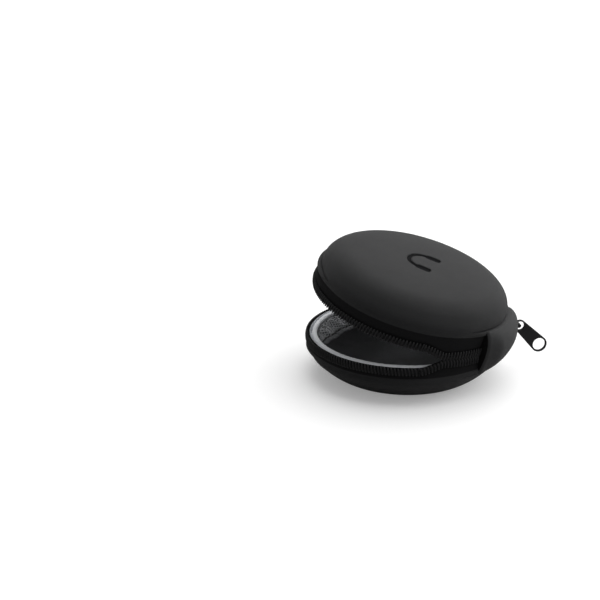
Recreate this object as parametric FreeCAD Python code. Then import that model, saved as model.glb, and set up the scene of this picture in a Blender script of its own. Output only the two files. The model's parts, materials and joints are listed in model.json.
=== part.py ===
import FreeCAD, Part
import os
from math import cos, sin, pi, radians, sqrt, atan2

# Round zipped carrying case for earphones: a moulded base and lid joined by a fabric hinge panel,
# closed by a coil zip whose slider runs round the rim.  All lengths are millimetres.
# Frame: origin at the middle of the base's flat underside, +Z up.
# A half (base or lid) is drawn as (radius, height away from the rim plane).

V = FreeCAD.Vector

# ---- driving dimensions -----------------------------------------------------------------
RIM_Z = 17.0            # height of the rim plane, where the two rows of teeth meet
LID_TILT = 15.0         # the lid rests this far open, degrees
HINGE_AZ = -24.0        # direction of the hinge from the centre, degrees from +X
HINGE_R = 46.0          # distance of the hinge line from the centre
HINGE_HALF = 23.0       # half the angle covered by the hinge panel
PANEL_GAP = 0.1         # degrees between the panel and the cut end of the rolled edge
FLAP_SHORT = 3.5        # the panel's lining stops this many degrees inside the panel

TEETH_R = 40.0          # outer radius of the coil teeth
TEETH_TOP = 3.25        # far edge of one row of teeth, from the rim plane
TAPE_R = 38.8           # outer radius of the zip tape
TAPE_T = 0.5
COIL_GAP = 0.1          # thread between the tape and the coil
HALF_GAP = 0.05         # each half stops this far short of the rim plane

SKIN_T = 0.8            # fabric-faced skin
CORE_T = 2.2            # moulded foam core
LINING_T = 0.4
WALL_R = 37.0           # outer radius of the core's upright rim, inside the slider's groove
WALL_IN = 36.0          # its inner radius
CORE_EDGE = 0.7         # the core stops this far below the rim plane, under the binding
LEDGE_R = 38.3          # ledge the tape is sewn to
RIDGE_R = 39.6          # rolled edge of the skin
RIDGE_W = 1.6
RIDGE_FOOT = 37.95      # the rolled edge is left off outside this radius behind the hinge
LEDGE_DROP = 0.1        # the core stops this far short of the rolled edge
BIND_ROUND = 0.3        # bevel of the edge binding

BASE_RIDGE = 4.6        # near edge of the rolled skin edge, from the rim plane
LID_RIDGE = 7.0
# section of each half outside the rolled edge: Bezier poles (radius, height from the rim plane)
BASE_CURVE = [(37.9, 6.4), (36.6, 11.2), (28.5, 17.0), (24.5, 17.0)]
LID_CURVE = [(38.2, 8.8), (38.3, 13.5), (34.5, 17.2), (28.0, 18.2)]
LID_CROWN = [(28.0, 18.2), (20.0, 19.43), (10.0, 19.6), (0.0, 19.6)]

PARK = 33.5             # parked slider, degrees round from the hinge direction
REAR_JOINED = PARK      # the lid's row leaves the base's in the middle of the slider
REAR_FIXED = 52.0       # the lid's row is held by the lid from here round to FRONT_FIXED
FRONT_FIXED = -62.0
FRONT_MESHED = -48.0    # the two rows still touch from the panel out to here
ROW_START = HINGE_HALF + 0.2    # the rows start just clear of the hinge panel
BEND_FROM = 3.4         # the bent tape is straight from the rim to here, behind the teeth

# hinge panel and its lining: outer and inner Bezier poles, (radius, Z) at the base
# and (radius, height from the rim plane) at the lid
PANEL_FOOT = [(39.5, 10.1), (42.6, 11.9)]
PANEL_FOOT_IN = [(38.4, 10.75), (40.6, 13.4)]
PANEL_HEAD = [(48.4, 5.3), (40.1, 8.75)]
PANEL_HEAD_IN = [(45.9, 5.0), (38.5, 8.4)]
FLAP_FOOT = [(37.9, 12.55), (40.5, 15.0)]
FLAP_FOOT_IN = [(37.4, 12.55), (40.0, 15.0)]
FLAP_HEAD = [(40.0, 2.5), (37.9, 6.95)]
FLAP_HEAD_IN = [(39.5, 2.5), (37.4, 6.95)]

SLIDER_LEN = 11.0
SLIDER_HALF_H = 4.1
PLATE_IN = (37.45, 38.05)
PLATE_IN_HALF_H = 2.9
PLATE_OUT = (40.9, 42.4)
FLANGE_R = 39.3         # the outer plate's side flanges reach in to here
FLANGE_T = 0.7
POST_W = 1.5            # post that parts the rows at the slider's mouth
POST_H = 0.65
PLATE_IN_SHORT = 0.3     # the inner plate and the flanges stop this far short of the slider's ends
FLANGE_SHORT = 0.6
FLANGE_GAP = 0.8        # degrees left between the upper flange and the leaving row
BAR_R = 48.4            # centre line of the crown's bar
BAR_RAD = 0.6
CROWN_HALF = 2.7
CROWN_LEG = 1.1
CROWN_H = 1.7

PULL_T = 1.2
PULL_EYE = (2.5, 1.8)   # outer and inner radius of the small eye
PULL_END = (3.4, 2.65)  # outer and inner radius of the large end hole
PULL_PITCH = 12.4
PULL_DROP = 1.15        # the bar sits this far from the middle of the eye
PULL_DOWN = 45.0        # the pull rests this far below the horizontal
PULL_ROUND = 0.2

POCKET_AZ = (84.0, 198.0)   # the pocket's edge line runs between these two points of the wall
POCKET_SAG = 4.5
POCKET_R = 34.9
NET_EDGE = 34.45        # outer radius of the net
NET_MID_Z = 13.9        # height of the net over the middle of the base
NET_DISH = 1.6          # it is this much higher at the wall
NET_T = 0.6
ELASTIC_W = 3.0
ELASTIC_IN = 2.4        # this much of the elastic lies inside the line of the pocket's edge
ELASTIC_PROUD = 0.4     # the elastic stands this far over and under the net
POCKET_BAND = (14.6, 16.1)  # lower and upper edge of the net's binding on the wall
POCKET_BAND_OVER = 2.5  # the binding runs this many degrees past the net at each end

MARK_DEPTH = 0.35       # pressed headphone sign on the lid
MARK_R = 7.0
MARK_W = 1.7
MARK_DROP = 1.0         # the ring's centre is this far towards the hinge from the lid's middle
CUP_FOOT = 5.0          # the cups reach this far below the ring's centre
CUP_SIZE = (3.4, 6.2)
CUP_ROUND = 1.2


# ---- plane curves -----------------------------------------------------------------------
def bezier_point(poles, t):
    """Point of a cubic Bezier with (x, y) or (x, y, z) poles."""
    u = 1.0 - t
    w = (u * u * u, 3 * u * u * t, 3 * u * t * t, t * t * t)
    return tuple(sum(w[k] * poles[k][c] for k in range(4)) for c in range(len(poles[0])))


def offset_points(poles, dist, count=13):
    """Points at a constant distance inside a section curve."""
    found = []
    for k in range(count):
        t = k / (count - 1.0)
        a = bezier_point(poles, max(0.0, t - 0.01))
        b = bezier_point(poles, min(1.0, t + 0.01))
        p = bezier_point(poles, t)
        dx, dy = b[0] - a[0], b[1] - a[1]
        size = sqrt(dx * dx + dy * dy)
        found.append((p[0] - dy / size * dist, p[1] + dx / size * dist))
    return found


def plane_edges(run):
    """Edges through a list of ('line'|'bezier'|'spline', points) in the XZ plane."""
    edges = []
    for kind, points in run:
        pts = [V(x, 0, z) for x, z in points]
        if kind == "bezier":
            curve = Part.BezierCurve()
            curve.setPoles(pts)
            edges.append(curve.toShape())
        elif kind == "spline":
            curve = Part.BSplineCurve()
            curve.interpolate(pts)
            edges.append(curve.toShape())
        else:
            edges += [Part.makeLine(a, b) for a, b in zip(pts, pts[1:])]
    return edges


def revolve(run, start=0.0, sweep=360.0):
    """Solid of revolution about Z of a closed section, from one direction to another."""
    face = Part.Face(Part.Wire(Part.__sortEdges__(plane_edges(run))))
    face.rotate(V(0, 0, 0), V(0, 0, 1), start)
    shape = face.revolve(V(0, 0, 0), V(0, 0, 1), sweep)
    if shape.Volume < 0:
        shape.reverse()
    return shape


def ring(r0, r1, z0, z1, start=0.0, sweep=360.0):
    """Ring, or part of one, with a rectangular section."""
    corners = [(r0, z0), (r1, z0), (r1, z1), (r0, z1), (r0, z0)]
    return revolve([("line", corners)], start, sweep)


# ---- placing the two halves -------------------------------------------------------------
H_DIR = V(cos(radians(HINGE_AZ)), sin(radians(HINGE_AZ)), 0)
H_AXIS = V(-sin(radians(HINGE_AZ)), cos(radians(HINGE_AZ)), 0)
HINGE_POINT = H_DIR * HINGE_R + V(0, 0, RIM_Z)


def base_z(points):
    return [(r, RIM_Z - h) for r, h in points]


def lid_z(points):
    return [(r, RIM_Z + h) for r, h in points]


def half_run(run, flip):
    """A section in (radius, height from the rim plane) turned into radius and Z."""
    turn = base_z if flip else lid_z
    return [(kind, turn(points)) for kind, points in run]


def open_lid(shape):
    shape.rotate(HINGE_POINT, H_AXIS, LID_TILT)
    return shape


def swing(point, part):
    """A point of the closed case carried part of the way open about the hinge line."""
    d = point - HINGE_POINT
    turned = FreeCAD.Rotation(H_AXIS, LID_TILT * part).multVec(d)
    return HINGE_POINT + turned


def around(r, turn, z):
    """Point at radius r, turned from the hinge direction."""
    a = radians(HINGE_AZ + turn)
    return V(r * cos(a), r * sin(a), z)


def spline(points):
    curve = Part.BSplineCurve()
    curve.interpolate(points)
    return curve.toShape()


def sewn(faces):
    """Closed solid from faces that share their borders."""
    shell = Part.Shell(faces)
    shell.sewShape()
    solid = Part.Solid(shell)
    if solid.Volume < 0:
        solid.reverse()
    return solid


def rail_solid(sections):
    """Solid strip with a smooth rail through each point of its sections.
    A section is a list of (inner, outer) pairs of points, one for each height."""
    rows = len(sections[0])
    rails = [[spline([s[k][side] for s in sections]) for side in (0, 1)] for k in range(rows)]
    faces = [Part.makeRuledSurface(rails[0][0], rails[0][1]),
             Part.makeRuledSurface(rails[-1][0], rails[-1][1])]
    for low, high in zip(rails, rails[1:]):
        faces += [Part.makeRuledSurface(low[side], high[side]) for side in (0, 1)]
    for end in (sections[0], sections[-1]):
        rungs = [Part.makeLine(inner, outer) for inner, outer in end]
        faces += [Part.makeRuledSurface(a, b) for a, b in zip(rungs, rungs[1:])]
    return sewn(faces)


def surface_solid(front, back):
    """Solid between two smooth surfaces given as grids of points."""
    faces, borders = [], []
    for grid in (front, back):
        surf = Part.BSplineSurface()
        surf.interpolate(grid)
        faces.append(surf.toShape())
        u0, u1, v0, v1 = surf.bounds()
        borders.append([surf.uIso(u0).toShape(), surf.uIso(u1).toShape(),
                        surf.vIso(v0).toShape(), surf.vIso(v1).toShape()])
    faces += [Part.makeRuledSurface(a, b) for a, b in zip(*borders)]
    return sewn(faces)


# ---- shells of a half -------------------------------------------------------------------
LAYERS = (0.0, SKIN_T, SKIN_T + CORE_T, SKIN_T + CORE_T + LINING_T)


def middle_run(crown, depth, rim_point, axis_h):
    """Section of one layer from the end of its side curve to the axis."""
    if not crown:
        return ("line", [rim_point, (0.0, axis_h)])
    if depth == 0:
        return ("bezier", crown)
    inner = offset_points(crown, depth)
    return ("spline", [rim_point] + inner[1:-1] + [(0.0, axis_h)])


def half_parts(curve, ridge, crown, flip):
    """Skin, core, lining and edge binding of the base (flip) or the lid."""
    top = ridge + RIDGE_W
    skin_in, core_in, line_in = (offset_points(curve, depth) for depth in LAYERS[1:])
    middle_h = (crown or curve)[-1][1]
    axis_h = [middle_h - depth for depth in LAYERS]
    rim_points = (curve[-1], skin_in[-1], core_in[-1], line_in[-1])
    outside, under_skin, under_core, inside = (
        middle_run(crown, depth, point, h) for depth, point, h in zip(LAYERS, rim_points, axis_h))

    roll = [(TAPE_R, ridge), (TAPE_R + 0.35, ridge), (RIDGE_R, ridge + 0.45),
            (RIDGE_R, ridge + 1.0), (TAPE_R + 0.3, top), curve[0]]
    seat = [skin_in[0], (LEDGE_R, top), (TAPE_R, top), (TAPE_R, ridge)]
    skin = [("line", roll), ("bezier", curve), outside,
            ("line", [(0.0, axis_h[0]), (0.0, axis_h[1])]), under_skin,
            ("spline", skin_in), ("line", seat)]

    step = [skin_in[0], (LEDGE_R, top), (LEDGE_R, ridge + LEDGE_DROP), (WALL_R, ridge + LEDGE_DROP),
            (WALL_R, CORE_EDGE), (WALL_IN, CORE_EDGE), core_in[0]]
    core = [("line", step), ("spline", core_in), under_core,
            ("line", [(0.0, axis_h[2]), (0.0, axis_h[1])]), under_skin, ("spline", skin_in)]

    lip = WALL_IN - LINING_T
    lining = [("line", [line_in[0], (lip, CORE_EDGE), (WALL_IN, CORE_EDGE), core_in[0]]),
              ("spline", core_in), under_core,
              ("line", [(0.0, axis_h[2]), (0.0, axis_h[3])]), inside, ("spline", line_in)]

    low, bevel = HALF_GAP, HALF_GAP + BIND_ROUND
    bind = [(lip, CORE_EDGE), (lip, bevel), (lip + BIND_ROUND, low), (WALL_R - BIND_ROUND, low),
            (WALL_R, bevel), (WALL_R, CORE_EDGE), (lip, CORE_EDGE)]
    return [revolve(half_run(run, flip)) for run in (skin, core, lining, [("line", bind)])]


def z_range(h0, h1, flip):
    """Lower and upper Z of a band between two heights from the rim plane."""
    return (RIM_Z - h1, RIM_Z - h0) if flip else (RIM_Z + h0, RIM_Z + h1)


def without_ridge(skin, ridge, flip):
    """The rolled edge is left off behind the hinge panel, which is sewn there instead."""
    z0, z1 = z_range(ridge - 0.2, ridge + RIDGE_W + 0.3, flip)
    half = HINGE_HALF + PANEL_GAP
    return skin.cut(ring(RIDGE_FOOT, RIDGE_R + 1.0, z0, z1, HINGE_AZ - half, 2 * half))


def row(radii, h0, h1, flip, start, stop):
    """Part of a ring on one half, between two turns from the hinge direction."""
    z0, z1 = z_range(h0, h1, flip)
    return ring(radii[0], radii[1], z0, z1, HINGE_AZ + start, stop - start)


# ---- ends of the zip, where the rows leave their half and come together -----------------
TAPE = (TAPE_R - TAPE_T, TAPE_R)
COIL = (TAPE_R + COIL_GAP, TEETH_R)


def ease(x):
    x = max(0.0, min(1.0, x))
    return x * x * (3 - 2 * x)


def base_lift(turn):
    """How far a point of the base's row follows the lid near the front end of the zip."""
    return 0.5 * ease((turn - FRONT_FIXED) / (FRONT_MESHED - FRONT_FIXED))


def lid_lift_front(turn):
    return 1.0 - base_lift(turn)


def lid_lift_rear(turn):
    return ease((turn - REAR_JOINED) / (REAR_FIXED - REAR_JOINED))


def row_end(radii, heights, sign, lift, held_lift, turns):
    """Bent strip through heights from the rim plane.  It follows lift at its first two
    heights, and held_lift, the part of the lid's opening its own half has, at a third."""
    sections = []
    for turn in turns:
        pairs = []
        for k, h in enumerate(heights):
            share = held_lift if k == 2 else lift(turn)
            pairs.append([swing(around(r, turn, RIM_Z + sign * h), share) for r in radii])
        sections.append(pairs)
    return rail_solid(sections)


def turns_between(a, b, count):
    return [a + (b - a) * k / count for k in range(count + 1)]


def zip_ends():
    """The strips and coils that bend between the hinge panel and the fixed rows."""
    front = turns_between(FRONT_FIXED + 0.05, -ROW_START, 14)
    rear = turns_between(ROW_START, REAR_FIXED - 0.05, 14)
    ends = {}
    for name, sign, ridge, lift, held_lift, turns in (
            ("base_%s_front_end", -1, BASE_RIDGE, base_lift, 0.0, front),
            ("lid_%s_front_end", 1, LID_RIDGE, lid_lift_front, 1.0, front),
            ("lid_%s_rear_end", 1, LID_RIDGE, lid_lift_rear, 1.0, rear)):
        tape = (HALF_GAP, BEND_FROM, ridge - HALF_GAP)
        ends[name % "tape"] = row_end(TAPE, tape, sign, lift, held_lift, turns)
        ends[name % "teeth"] = row_end(COIL, (HALF_GAP, TEETH_TOP), sign, lift, held_lift, turns)
    return ends


# ---- hinge --------------------------------------------------------------------------------
def hinge_grid(foot, head, half, count=8, steps=8):
    """Points of a bent sheet; its poles are (radius, Z) at the base, (radius, height) at the lid."""
    grid = []
    for turn in turns_between(-half, half, count):
        poles = [around(r, turn, z) for r, z in foot]
        poles += [swing(around(r, turn, RIM_Z + h), 1.0) for r, h in head]
        flat = [(p.x, p.y, p.z) for p in poles]
        grid.append([V(*bezier_point(flat, k / float(steps))) for k in range(steps + 1)])
    return grid


def hinge_panel():
    half = HINGE_HALF - PANEL_GAP
    return surface_solid(hinge_grid(PANEL_FOOT, PANEL_HEAD, half),
                         hinge_grid(PANEL_FOOT_IN, PANEL_HEAD_IN, half))


def hinge_lining():
    half = HINGE_HALF - FLAP_SHORT
    return surface_solid(hinge_grid(FLAP_FOOT, FLAP_HEAD, half),
                         hinge_grid(FLAP_FOOT_IN, FLAP_HEAD_IN, half))


# ---- slider and pull ------------------------------------------------------------------------
def arc_plate(r0, r1, z0, z1, half_len):
    """Plate curved round the case, its length measured at the teeth."""
    half = half_len / TEETH_R * 180.0 / pi
    return ring(r0, r1, z0, z1, HINGE_AZ + PARK - half, 2 * half)


def soften(shape, size, pick):
    """Round the edges that pick chooses."""
    return shape.makeFillet(size, [e for e in shape.Edges if pick(e)])


def slider_body():
    """Two curved plates joined by a post at the mouth, with side flanges round the teeth.
    The upper flange stops at the middle, where the lid's row leaves."""
    half = SLIDER_LEN / 2.0
    z0, z1 = RIM_Z - SLIDER_HALF_H, RIM_Z + SLIDER_HALF_H
    lip_r = PLATE_OUT[0] + 0.1
    outer = arc_plate(PLATE_OUT[0], PLATE_OUT[1], z0, z1, half)
    inner = arc_plate(PLATE_IN[0], PLATE_IN[1], RIM_Z - PLATE_IN_HALF_H,
                      RIM_Z + PLATE_IN_HALF_H, half - PLATE_IN_SHORT)
    low = arc_plate(FLANGE_R, lip_r, z0, z0 + FLANGE_T, half - FLANGE_SHORT)
    tail = (half - FLANGE_SHORT) / TEETH_R * 180.0 / pi
    high = ring(FLANGE_R, lip_r, z1 - FLANGE_T, z1, HINGE_AZ + PARK - tail,
                tail - FLANGE_GAP)
    mouth = (half - POST_W) / TEETH_R * 180.0 / pi
    post = ring(PLATE_IN[1] - 0.1, lip_r, RIM_Z + HALF_GAP, RIM_Z + HALF_GAP + POST_H,
                HINGE_AZ + PARK + mouth, POST_W / TEETH_R * 180.0 / pi)
    return outer.fuse([inner, low, high, post]).removeSplitter()


def local_box(length, width, height, centre, az):
    """Box with its middle at (radial, tangential, z) in the frame of a direction."""
    box = Part.makeBox(length, width, height, V(-length / 2.0, -width / 2.0, -height / 2.0))
    box.translate(V(*centre))
    box.rotate(V(0, 0, 0), V(0, 0, 1), az)
    return box


def slider_crown():
    """Bridge on the outer plate: two legs and a round bar for the pull to hang on."""
    az = HINGE_AZ + PARK
    foot, tip = PLATE_OUT[1] - 0.1, BAR_R + 0.2
    leg_mid = CROWN_HALF - CROWN_LEG / 2.0
    legs = [local_box(tip - foot, CROWN_LEG, CROWN_H, ((tip + foot) / 2.0, side * leg_mid, RIM_Z), az)
            for side in (-1, 1)]
    bar = Part.makeCylinder(BAR_RAD, 2 * CROWN_HALF, V(BAR_R, -CROWN_HALF, RIM_Z), V(0, 1, 0))
    bar.rotate(V(0, 0, 0), V(0, 0, 1), az)
    crown = legs[0].fuse([legs[1], bar])
    plate = ring(PLATE_OUT[0], PLATE_OUT[1] + 0.02, RIM_Z - CROWN_H, RIM_Z + CROWN_H, az - 20, 40)
    return crown.cut(plate).removeSplitter()


def pull_outline():
    """Outline of the pull in its own plane, from the eye at the origin along +X."""
    r0, r1 = PULL_EYE[0], PULL_END[0]
    lean = atan2(r1 - r0, sqrt(PULL_PITCH ** 2 - (r1 - r0) ** 2))
    a = pi / 2 + lean
    p0, p1 = V(r0 * cos(a), 0, r0 * sin(a)), V(PULL_PITCH + r1 * cos(a), 0, r1 * sin(a))
    q0, q1 = V(p0.x, 0, -p0.z), V(p1.x, 0, -p1.z)
    back = Part.Arc(p0, V(-r0, 0, 0), q0).toShape()
    front = Part.Arc(q1, V(PULL_PITCH + r1, 0, 0), p1).toShape()
    return Part.Wire([back, Part.makeLine(q0, q1), front, Part.makeLine(p1, p0)])


def pull_tab():
    """Flat tapered pull with a small eye and a large round end hole."""
    face = Part.Face(pull_outline())
    body = face.extrude(V(0, PULL_T, 0))
    eye = Part.makeCylinder(PULL_EYE[1], 4 * PULL_T, V(0, -PULL_T, 0), V(0, 1, 0))
    end = Part.makeCylinder(PULL_END[1], 4 * PULL_T, V(PULL_PITCH, -PULL_T, 0), V(0, 1, 0))
    body = body.cut(eye.fuse(end))
    body = soften(body, PULL_ROUND, lambda e: e.BoundBox.YLength < 1e-6)
    body.translate(V(PULL_DROP, -PULL_T / 2.0, 0))
    body.rotate(V(0, 0, 0), V(0, 1, 0), PULL_DOWN)
    body.translate(V(BAR_R, 0, RIM_Z))
    body.rotate(V(0, 0, 0), V(0, 0, 1), HINGE_AZ + PARK)
    return body


# ---- net pocket -----------------------------------------------------------------------------
def dish_z(r, lift=0.0):
    """Height of the net over the floor at a radius: it dips towards the middle."""
    return NET_MID_Z + NET_DISH * (r / NET_EDGE) ** 2 + lift


def dish(low, high):
    """Thin bowl between two heights above the net's own surface."""
    steps = [NET_EDGE * k / 10.0 for k in range(11)]
    under = [(r, dish_z(r, low)) for r in steps]
    over = [(r, dish_z(r, high)) for r in reversed(steps)]
    return revolve([("spline", under), ("line", [under[-1], over[0]]), ("spline", over),
                    ("line", [over[-1], under[0]])])


def pocket_cutters():
    """Upright cylinders on either side of the elastic at the pocket's free edge."""
    a0, a1 = (radians(a) for a in POCKET_AZ)
    p0 = V(POCKET_R * cos(a0), POCKET_R * sin(a0), 0)
    p1 = V(POCKET_R * cos(a1), POCKET_R * sin(a1), 0)
    half = (p1 - p0).Length / 2.0
    mid = (p0 + p1) * 0.5
    out = V(mid.x, mid.y, 0).normalize()
    rad = (half ** 2 + POCKET_SAG ** 2) / (2 * POCKET_SAG)
    centre = mid - out * (rad - POCKET_SAG)
    return [Part.makeCylinder(rad + w, 30.0, centre) for w in (-ELASTIC_IN, ELASTIC_W - ELASTIC_IN)]


def pocket_parts():
    near, far = pocket_cutters()
    net = dish(0.0, NET_T).cut(far)
    elastic = dish(-ELASTIC_PROUD, NET_T + ELASTIC_PROUD).common(far.cut(near))
    start, stop = POCKET_AZ[0] - POCKET_BAND_OVER, POCKET_AZ[1] + POCKET_BAND_OVER
    binding = ring(NET_EDGE + 0.05, POCKET_R + 0.25, POCKET_BAND[0], POCKET_BAND[1],
                   start, stop - start)
    return net, elastic, binding


# ---- pressed sign on the lid ------------------------------------------------------------------
def lid_sign():
    """Solid that presses a plain headphone sign into the closed lid's top."""
    top = RIM_Z + LID_CROWN[-1][1]
    z0, z1 = top - 3.0, top + 3.0
    band = ring(MARK_R - MARK_W, MARK_R, z0, z1, 0.0, 180.0)
    cups = []
    for side in (-1, 1):
        x = side * (MARK_R - MARK_W / 2.0)
        wide, tall = CUP_SIZE
        cup = Part.makeBox(wide, tall, z1 - z0, V(x - wide / 2.0, -CUP_FOOT, z0))
        cups.append(soften(cup, CUP_ROUND, lambda e: e.BoundBox.ZLength > 5))
    sign = band.fuse(cups).removeSplitter()
    sign.translate(V(0, -MARK_DROP, 0))
    sign.rotate(V(0, 0, 0), V(0, 0, 1), HINGE_AZ + 90.0)
    return sign


def press_sign(skin):
    """Cut the sign into the skin to a constant depth."""
    lower = [(r, h - MARK_DEPTH) for r, h in LID_CROWN]
    run = half_run([("bezier", LID_CROWN), ("line", [LID_CROWN[-1], lower[-1]]),
                    ("bezier", lower), ("line", [lower[0], LID_CROWN[0]])], False)
    layer = revolve(run)
    over = ring(0.0, 28.0, RIM_Z + 19.0, RIM_Z + 23.0)
    return skin.cut(lid_sign().common(layer.fuse(over)))


# ---- the whole case ----------------------------------------------------------------------------
def build():
    parts = {}
    skin, core, lining, binding = half_parts(BASE_CURVE, BASE_RIDGE, None, True)
    parts["base_skin"] = without_ridge(skin, BASE_RIDGE, True)
    parts["base_core"] = core
    parts["base_lining"] = lining
    parts["base_binding"] = binding
    round_end = 360.0 + FRONT_FIXED
    parts["base_zip_tape"] = row(TAPE, HALF_GAP, BASE_RIDGE + RIDGE_W, True, ROW_START, round_end)
    parts["base_zip_teeth"] = row(COIL, HALF_GAP, TEETH_TOP, True, ROW_START, round_end)

    skin, core, lining, binding = half_parts(LID_CURVE, LID_RIDGE, LID_CROWN, False)
    parts["lid_skin"] = open_lid(press_sign(without_ridge(skin, LID_RIDGE, False)))
    parts["lid_core"] = open_lid(core)
    parts["lid_lining"] = open_lid(lining)
    parts["lid_binding"] = open_lid(binding)
    tape = row(TAPE, HALF_GAP, LID_RIDGE + RIDGE_W, False, REAR_FIXED, round_end)
    parts["lid_zip_tape"] = open_lid(tape)
    teeth = row(COIL, HALF_GAP, TEETH_TOP, False, REAR_FIXED, round_end)
    parts["lid_zip_teeth"] = open_lid(teeth)
    parts.update(zip_ends())
    parts["hinge_panel"] = hinge_panel()
    parts["hinge_lining"] = hinge_lining()
    parts["slider_body"] = slider_body()
    parts["slider_crown"] = slider_crown()
    parts["pull_tab"] = pull_tab()
    net, elastic, binding = pocket_parts()
    parts["mesh_pocket"] = net
    parts["pocket_elastic"] = elastic
    parts["pocket_binding"] = binding
    return parts


def main():
    os.makedirs("parts", exist_ok=True)
    for name, shape in build().items():
        solid = shape.Solids[0] if len(shape.Solids) == 1 else shape
        solid.exportStep("parts/" + name + ".step")
        print(name, len(shape.Solids), round(shape.Volume, 1), shape.isValid())


main()
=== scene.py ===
import json
from contextlib import contextmanager
from math import atan2, cos, degrees, pi, radians, sin, sqrt

import bmesh
import bpy
import numpy as np
from mathutils import Matrix, Vector


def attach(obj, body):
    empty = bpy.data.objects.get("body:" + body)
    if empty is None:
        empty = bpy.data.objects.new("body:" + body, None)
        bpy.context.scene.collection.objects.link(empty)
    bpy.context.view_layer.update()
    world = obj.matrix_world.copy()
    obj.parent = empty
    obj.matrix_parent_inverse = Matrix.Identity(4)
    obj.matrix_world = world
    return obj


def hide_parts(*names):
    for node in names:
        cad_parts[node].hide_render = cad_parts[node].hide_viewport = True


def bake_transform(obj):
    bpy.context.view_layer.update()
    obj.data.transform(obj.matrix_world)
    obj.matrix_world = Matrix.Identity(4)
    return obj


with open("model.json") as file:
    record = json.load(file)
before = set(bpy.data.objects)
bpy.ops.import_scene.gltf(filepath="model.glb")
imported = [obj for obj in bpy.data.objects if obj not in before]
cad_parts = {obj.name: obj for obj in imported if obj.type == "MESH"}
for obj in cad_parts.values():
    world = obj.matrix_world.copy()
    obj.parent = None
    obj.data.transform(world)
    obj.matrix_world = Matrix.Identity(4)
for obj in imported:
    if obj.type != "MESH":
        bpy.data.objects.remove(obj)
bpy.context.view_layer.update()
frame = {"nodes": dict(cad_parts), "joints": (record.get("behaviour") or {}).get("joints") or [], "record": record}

# Looks of the zipped earphone case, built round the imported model.  Blender works in metres; the
# sections below are in millimetres, as (radius, height away from the rim plane).
MM = 0.001

# ---- places that come from the frame
JOINTS = {joint["name"]: joint for joint in frame["joints"]}
MOUNTS = {mount["name"]: mount for mount in frame["record"]["mounts"]}
HINGE_POINT = np.array(JOINTS["lid_hinge"]["pos_m"])
HINGE_AXIS = np.array(JOINTS["lid_hinge"]["axis"])
TILT = -radians(JOINTS["lid_hinge"]["range_deg"][0])
RIM_Z = HINGE_POINT[2] / MM
HINGE_AZ = degrees(atan2(HINGE_POINT[1], HINGE_POINT[0]))
BAR = np.array(JOINTS["pull_swing"]["pos_m"])
BAR_AXIS = np.array(JOINTS["pull_swing"]["axis"])
PARK = degrees(atan2(BAR[1], BAR[0])) - HINGE_AZ

# ---- section of the case
FLANK = {"base": [(37.9, 6.9), (36.6, 11.2), (28.5, 17.0), (24.5, 17.0)],
         "lid": [(38.2, 9.3), (38.3, 13.5), (34.5, 17.2), (28.0, 18.2)]}
LID_CROWN = [(28.0, 18.2), (20.0, 19.43), (10.0, 19.6), (0.0, 19.6)]
RIDGE = {"base": 4.6, "lid": 7.0}            # where the rolled edge starts
ROLL_R = 0.92
FLAT_FRONT = (208.0, 232.0, 322.0, 337.0)    # turns where the rolled edge flattens, and returns
TAPE_IN, TAPE_OUT = 38.3, 38.8
SKIN_T = 0.8
LINING_DEPTH = 3.4          # from the skin's outside to the lining's inside
LINING_T = 0.35
LIP_R = 35.6

# ---- the zip, in degrees round from the hinge direction
HINGE_HALF = 23.0
ROW_START = 23.2
REAR_FIXED = 52.0
FRONT_FIXED = -62.0
FRONT_MESHED = -48.0
COIL_R = 39.45
COIL_PITCH = 1.3
COIL_HALF_T = 0.25          # half the distance between the coil's front and back legs
COIL_MID = 1.55
COIL_HALF_H = 1.35
WIRE_R = 0.3
THREAD_R = 0.13
THREAD_HEIGHTS = (1.3, 2.2)
FRONT_MIDDLE = -36.0        # middle of the meshed row between the mouth and the hinge panel
PARK_MIDDLE = 28.0          # middle of the row between the hinge panel and the parked slider


# ---- curves and points
def smooth(x):
    """Eased step: 0 up to 0, and 1 from 1 on."""
    x = np.clip(x, 0.0, 1.0)
    return x * x * (3 - 2 * x)


def bezier(poles, count):
    """Points of a cubic Bezier of any dimension."""
    t = np.linspace(0, 1, count)[:, None]
    p = np.array(poles, float)
    return (1 - t) ** 3 * p[0] + 3 * (1 - t) ** 2 * t * p[1] + 3 * (1 - t) * t * t * p[2] + t ** 3 * p[3]


def tangents(line):
    """Unit direction of a line at each of its points."""
    d = np.gradient(line, axis=0)
    return d / np.linalg.norm(d, axis=1)[:, None]


def length_along(line):
    """How far along a line each of its points is."""
    return np.concatenate([[0], np.cumsum(np.linalg.norm(np.diff(line, axis=0), axis=1))])


def inside(curve, depth):
    """A section curve moved towards the inside of the case."""
    d = tangents(curve)
    return curve + np.stack([-d[:, 1], d[:, 0]], 1) * depth


def rounded(points, per=4):
    """Smooth line through points (Catmull-Rom)."""
    p = np.array(points, float)
    p = np.vstack([2 * p[0] - p[1], p, 2 * p[-1] - p[-2]])
    found = []
    for k in range(1, len(p) - 2):
        a, b, c, d = p[k - 1:k + 3]
        for t in np.arange(per) / per:
            found.append(0.5 * (2 * b + (c - a) * t + (2 * a - 5 * b + 4 * c - d) * t * t
                                + (3 * b - a - 3 * c + d) * t ** 3))
    found.append(p[-2])
    return np.array(found)


def around(r, turn, z):
    """Points in metres from radius, turn from the hinge direction, and Z, all in mm."""
    a = np.radians(HINGE_AZ + np.asarray(turn, float))
    r, z, a = np.broadcast_arrays(np.asarray(r, float), np.asarray(z, float), a)
    return np.stack([r * np.cos(a), r * np.sin(a), z], -1) * MM


def outward(turn):
    """Level direction away from the middle of the case at each turn."""
    a = np.radians(HINGE_AZ + turn)
    return np.stack([np.cos(a), np.sin(a), 0 * a], 1)


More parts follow.
